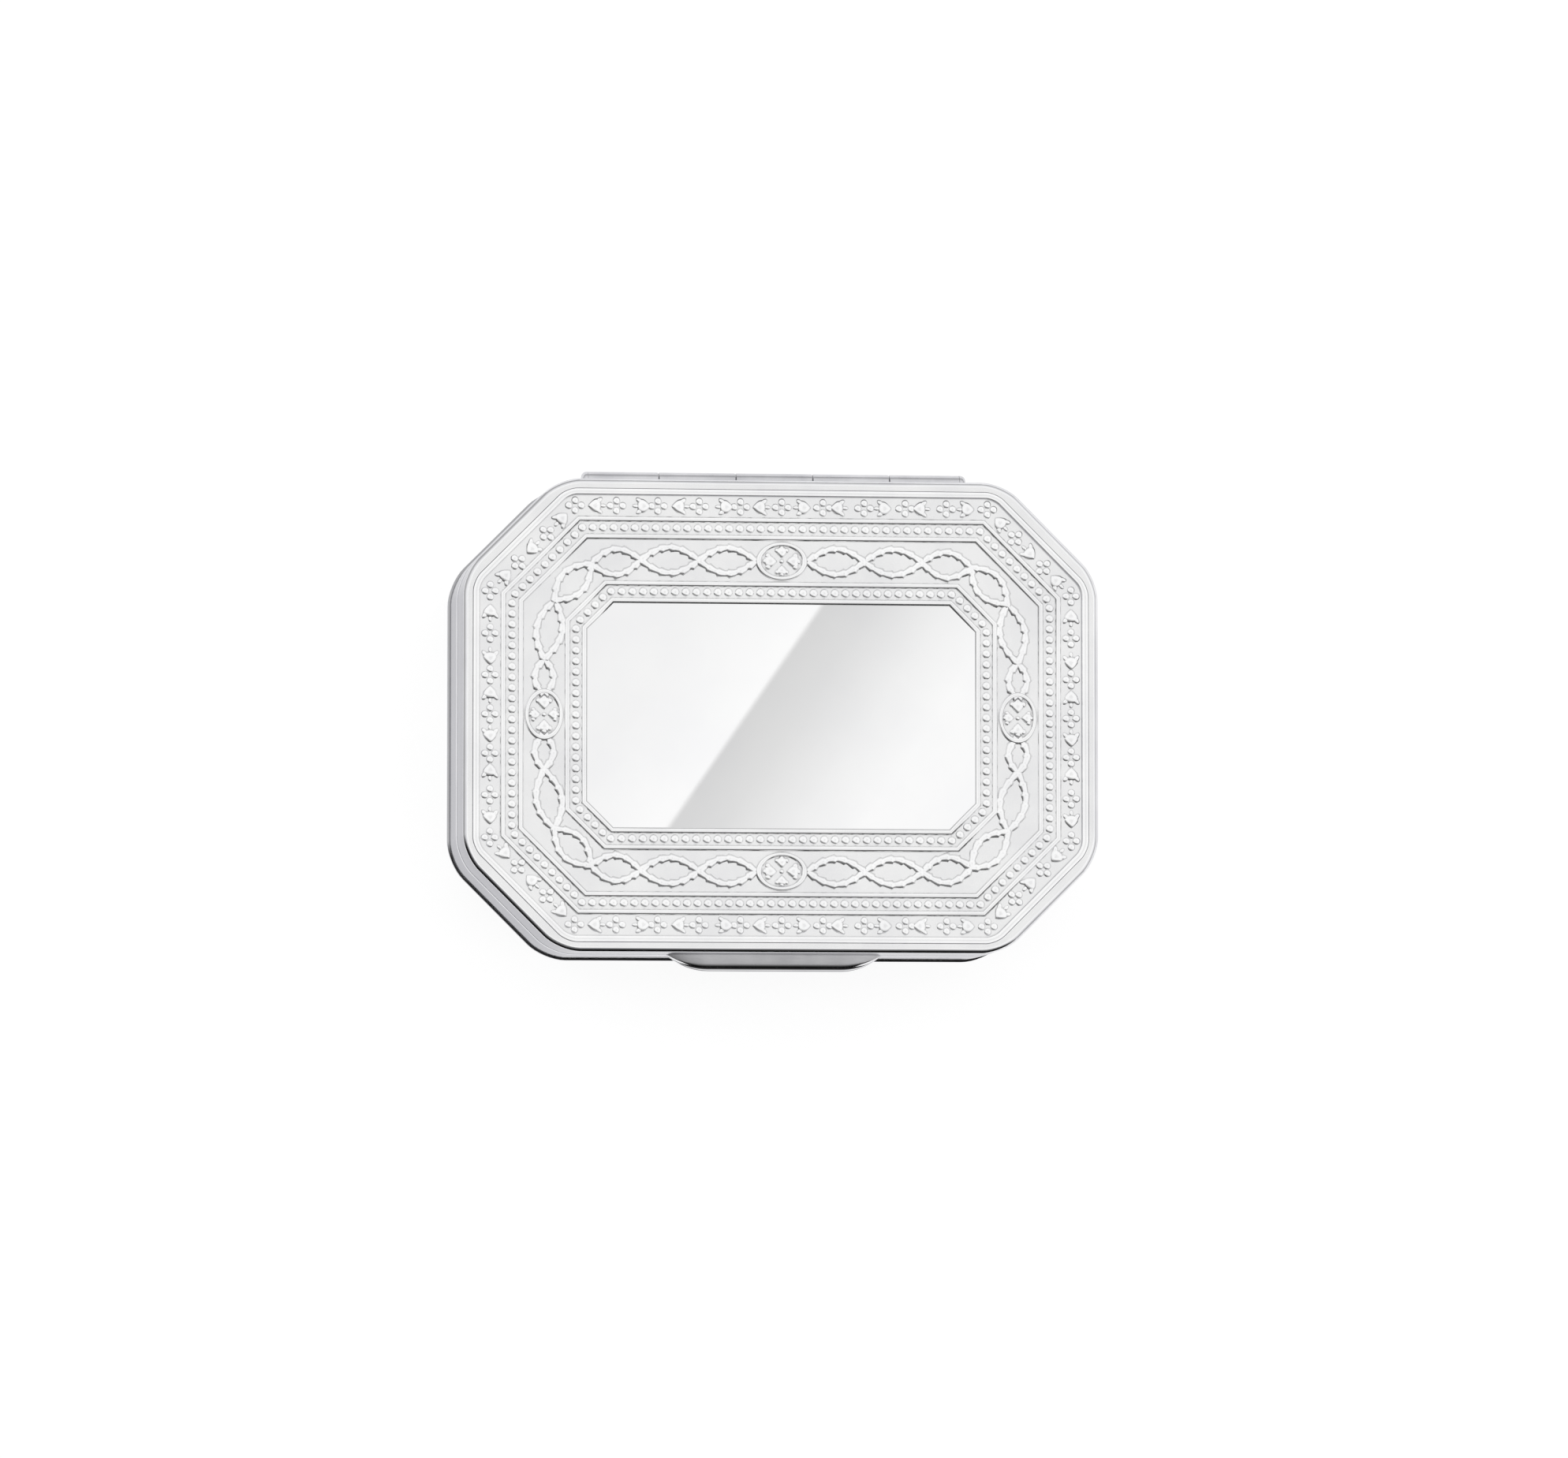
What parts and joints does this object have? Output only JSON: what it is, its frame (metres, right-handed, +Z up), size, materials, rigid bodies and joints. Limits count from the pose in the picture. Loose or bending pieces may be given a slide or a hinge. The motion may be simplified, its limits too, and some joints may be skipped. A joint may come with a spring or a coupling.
{
  "type": "trinket box",
  "caption": "Small silver box with cut corners: a shallow base and a hinged lid struck with beaded frames, a leafy guilloche and a flower frieze round a plain mirror panel.",
  "frame": {"origin": "centre of the base's flat underside, on the surface that the box stands on", "axes": "+X along the long side to the right, +Y to the hinge at the back, +Z up through the lid"},
  "size_m": [0.0808, 0.0631, 0.0202],
  "materials": {
    "polished_silver": "mirror-polished silver",
    "struck_silver": "die-struck silver, polished on the high parts",
    "satin_silver": "satin silver",
    "hinge_wire": "drawn wire"
  },
  "bodies": {
    "base": {"base_plate": "polished_silver", "base_wall": "polished_silver", "base_bezel": "satin_silver", "base_joint_bearer": "satin_silver", "base_knuckle_left": "polished_silver", "base_knuckle_centre": "polished_silver", "base_knuckle_right": "polished_silver", "hinge_pin": "hinge_wire", "hinge_plug_left": "polished_silver", "hinge_plug_right": "polished_silver"},
    "lid": {"lid_rim": "polished_silver", "lid_plate": "struck_silver", "lid_joint_bearer": "satin_silver", "lid_knuckle_left": "polished_silver", "lid_knuckle_right": "polished_silver", "thumb_piece": "polished_silver"}
  },
  "joints": [
    {"name": "lid_hinge", "type": "hinge", "parent": "base", "child": "lid", "pos_m": [0, 0.03005, 0.01105], "axis": [-1, 0, 0], "range_deg": [0, 104]}
  ]
}
